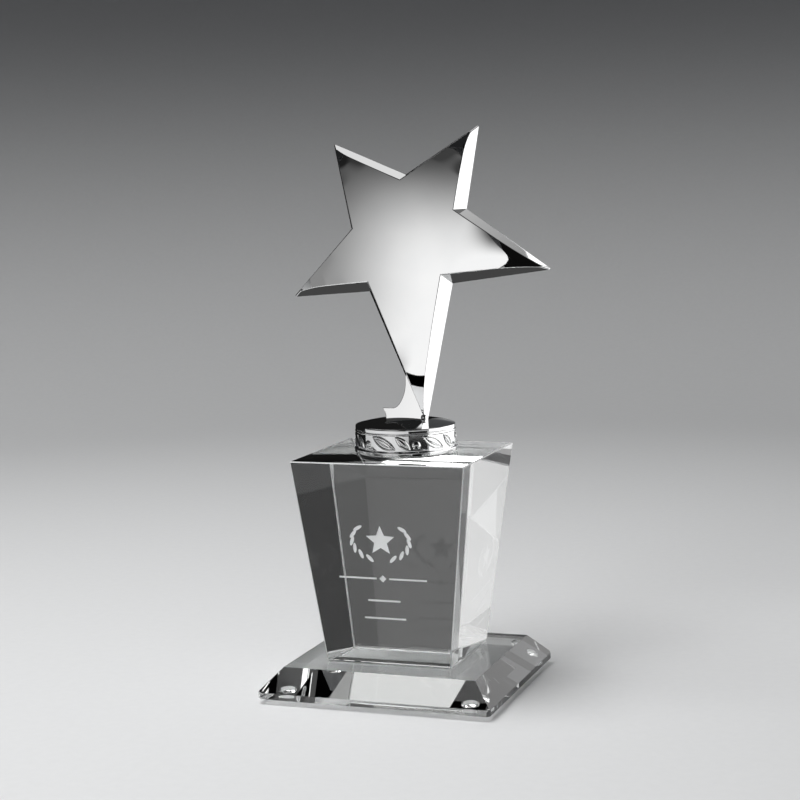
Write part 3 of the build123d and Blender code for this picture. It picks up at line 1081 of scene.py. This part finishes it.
def make_stage():
    """A round pale floor that curves up all round into a low backdrop, painted darker with height as shade.
    """
    level = stage_radius - stage_curve
    line = [(0, 0), (0.3, 0), (0.7, 0), (level, 0)]
    for step in range(1, stage_steps + 1):
        angle = math.pi / 2 * step / stage_steps
        line.append((level + stage_curve * math.sin(angle), stage_curve * (1 - math.cos(angle))))
    line.append((stage_radius, stage_height))
    line = [(radius / MM, height / MM - floor_gap) for radius, height in line]
    points, faces = lathe(line, 128, (0, 0))
    mesh = mesh_of(points, faces, "stage_floor")
    mesh.shade_smooth()
    floor = in_scene("stage_floor", mesh)
    made = Finish("pale_floor", Specular_IOR_Level=0.0)
    grain = made.noise(240, detail=4)
    split = made.node("ShaderNodeSeparateXYZ")
    made.tree.links.new(made.space, split.inputs["Vector"])
    # painted shade: the colour darkens from the floor's to the backdrop's with height
    shade = made.blend_colours(
        made.ramp(split.outputs["Z"], 0.0, painted_shade_height, 0, 1), floor_colour, painted_backdrop_shade
    )
    mottle = made.node("ShaderNodeMix", data_type="RGBA", blend_type="MULTIPLY")
    mottle.inputs["Factor"].default_value = 1.0
    made.tree.links.new(shade, mottle.inputs["A"])
    made.tree.links.new(made.blend_colours(grain, (0.95, 0.95, 0.95), (1, 1, 1)), mottle.inputs["B"])
    made.set("Base Color", mottle.outputs["Result"])
    made.set("Roughness", made.ramp(grain, 0.3, 0.7, 0.55, 0.65))
    floor.data.materials.append(made.material)


def glow(name, strength, side_fade, side_share, up_fade, up_share):
    """A card's light: full at its start, and falling over parts of its width and of its height."""
    material = bpy.data.materials.new(name)
    material.use_nodes = True
    tree = material.node_tree
    tree.nodes.remove(tree.nodes["Principled BSDF"])
    light = tree.nodes.new("ShaderNodeEmission")
    spot = tree.nodes.new("ShaderNodeUVMap")
    spot.uv_map = "card"
    split = tree.nodes.new("ShaderNodeSeparateXYZ")
    tree.links.new(spot.outputs["UV"], split.inputs["Vector"])
    power = None
    for socket, fade, share in (("X", side_fade, side_share), ("Y", up_fade, up_share)):
        span = tree.nodes.new("ShaderNodeMapRange")
        span.interpolation_type = "SMOOTHSTEP"
        span.inputs["From Min"].default_value = fade[0]
        span.inputs["From Max"].default_value = fade[1]
        span.inputs["To Min"].default_value = 1.0
        span.inputs["To Max"].default_value = share
        tree.links.new(split.outputs[socket], span.inputs["Value"])
        product = tree.nodes.new("ShaderNodeMath")
        product.operation = "MULTIPLY"
        product.inputs[0].default_value = strength
        if power is not None:
            tree.links.new(power, product.inputs[0])
        tree.links.new(span.outputs["Result"], product.inputs[1])
        power = product.outputs[0]
    tree.links.new(power, light.inputs["Strength"])
    tree.links.new(light.outputs["Emission"], tree.nodes["Material Output"].inputs["Surface"])
    return material


def make_card(
    name, place_of, strength, side_fade=(0, 1), side_share=1.0, up_fade=(0, 1), up_share=1.0,
    reflected=True, through_glass=True,
):
    """A softbox, or with little light a dark flag, seen only by reflections and through the glass.
    place_of gives the point in metres for shares of its width and of its height."""
    columns, levels = 24, 12
    points, faces, spots = [], [], []
    for level in range(levels + 1):
        for column in range(columns + 1):
            across, up = column / columns, level / levels
            points.append([value / MM for value in place_of(across, up)])
            spots.append((across, up))
    for level in range(levels):
        for column in range(columns):
            corner = level * (columns + 1) + column
            faces.append((corner, corner + 1, corner + columns + 2, corner + columns + 1))
    mesh = mesh_of(points, faces, name)
    layer = mesh.uv_layers.new(name="card")
    for loop in mesh.loops:
        layer.data[loop.index].uv = spots[loop.vertex_index]
    card = in_scene(name, mesh)
    card.data.materials.append(glow(name, strength, side_fade, side_share, up_fade, up_share))
    card.visible_camera = False
    card.visible_diffuse = False
    card.visible_shadow = False
    card.visible_glossy = reflected
    card.visible_transmission = through_glass


def upright_card(turns, heights, radius, bulge=0.0, bulge_height=0.0):
    """Where a card lies that is part of a cylinder about the trophy. turns are degrees from the
    front, to the right. With a bulge its first side is rounded, farthest out at bulge_height."""

    def place_of(across, up):
        height = heights[0] + (heights[1] - heights[0]) * up
        first = turns[0] - bulge * (height - bulge_height) ** 2
        turn = math.radians(first + (turns[1] - first) * across)
        return radius * math.sin(turn), -radius * math.cos(turn), height

    return place_of


def flat_card(low, high, height, rise):
    """Where a level card lies that rises toward its back by rise."""

    def place_of(across, up):
        x = low[0] + (high[0] - low[0]) * across
        y = low[1] + (high[1] - low[1]) * up
        return x, y, height + rise * up

    return place_of


def floor_sector(turns, radii):
    """Where a flag lies that covers part of a ring on the floor about the trophy."""

    def place_of(across, up):
        turn = math.radians(turns[0] + (turns[1] - turns[0]) * across)
        radius = radii[0] + (radii[1] - radii[0]) * up
        return radius * math.sin(turn), -radius * math.cos(turn), flag_height

    return place_of


def swept_card(across, up):
    """Where the flag behind the block lies: along the floor and then up, and wider farther back."""
    run = swept_run[1] * min(1, 2 * up)
    height = flag_height + swept_rise * max(0, 2 * up - 1)
    return (across - 0.5) * (swept_width + swept_flare * run), swept_run[0] + run, height


def make_lamp(name, place, size, power):
    """A square soft lamp, not seen in reflections."""
    data = bpy.data.lights.new(name, "AREA")
    data.energy = power
    data.size = size
    lamp = in_scene(name, data)
    lamp.location = place
    lamp.rotation_euler = (lamp_aim - Vector(place)).to_track_quat("-Z", "Y").to_euler()
    lamp.visible_glossy = False


def make_world():
    world = bpy.data.worlds.new("studio")
    world.use_nodes = True
    back = world.node_tree.nodes["Background"]
    back.inputs["Color"].default_value = (0.015, 0.0155, 0.016, 1)
    bpy.context.scene.world = world


make_camera()
make_stage()
make_world()
make_card(
    "softbox_front", upright_card((5, -50), (0.13, 1.3), 1.15, 110, 0.46), 1.02,
    side_fade=(0.38, 0.68), side_share=0.26, up_fade=(0.28, 0.56), up_share=0.05,
)
make_card("softbox_right", upright_card((74, 168), (0.004, 0.5), 0.45), 1.4)
make_card(
    "softbox_above", flat_card((-0.7, 0.15), (0.6, 1.0), 0.95, -0.15), 0.78,
    side_fade=(0.5, 0.78), side_share=0.22,
)
make_card("flag_under_front", upright_card((20, -80), (0.04, 0.129), 0.78), 0.0)
make_card("flag_front_right", upright_card((72, 2), (0.002, 1.3), 1.16), 0.004)
make_card("flag_left", upright_card((-84, -165), (0.004, 0.5), 0.42), 0.01, through_glass=False)
# painted shade: these two dark sheets on the floor are seen only in reflections, standing in for the floor
# lying in shade under the arms and in front
make_card(
    "flag_under_arms", flat_card((-0.16, 0.06), (0.05, 0.17), flag_height, 0.0), 0.06, through_glass=False,
)
make_card("flag_front_floor", floor_sector((26, 70), (0.25, 0.79)), 0.02, through_glass=False)
make_card(
    "flag_behind_glass", swept_card, 0.075, side_fade=(0.45, 0.75), side_share=0.25, reflected=False,
)
make_lamp("lamp_overhead", (-0.25, -0.15, 1.2), 0.7, 14)
make_lamp("lamp_front", (-0.35, -0.95, 0.75), 0.5, 4)

bpy.context.scene.view_settings.view_transform = "Standard"
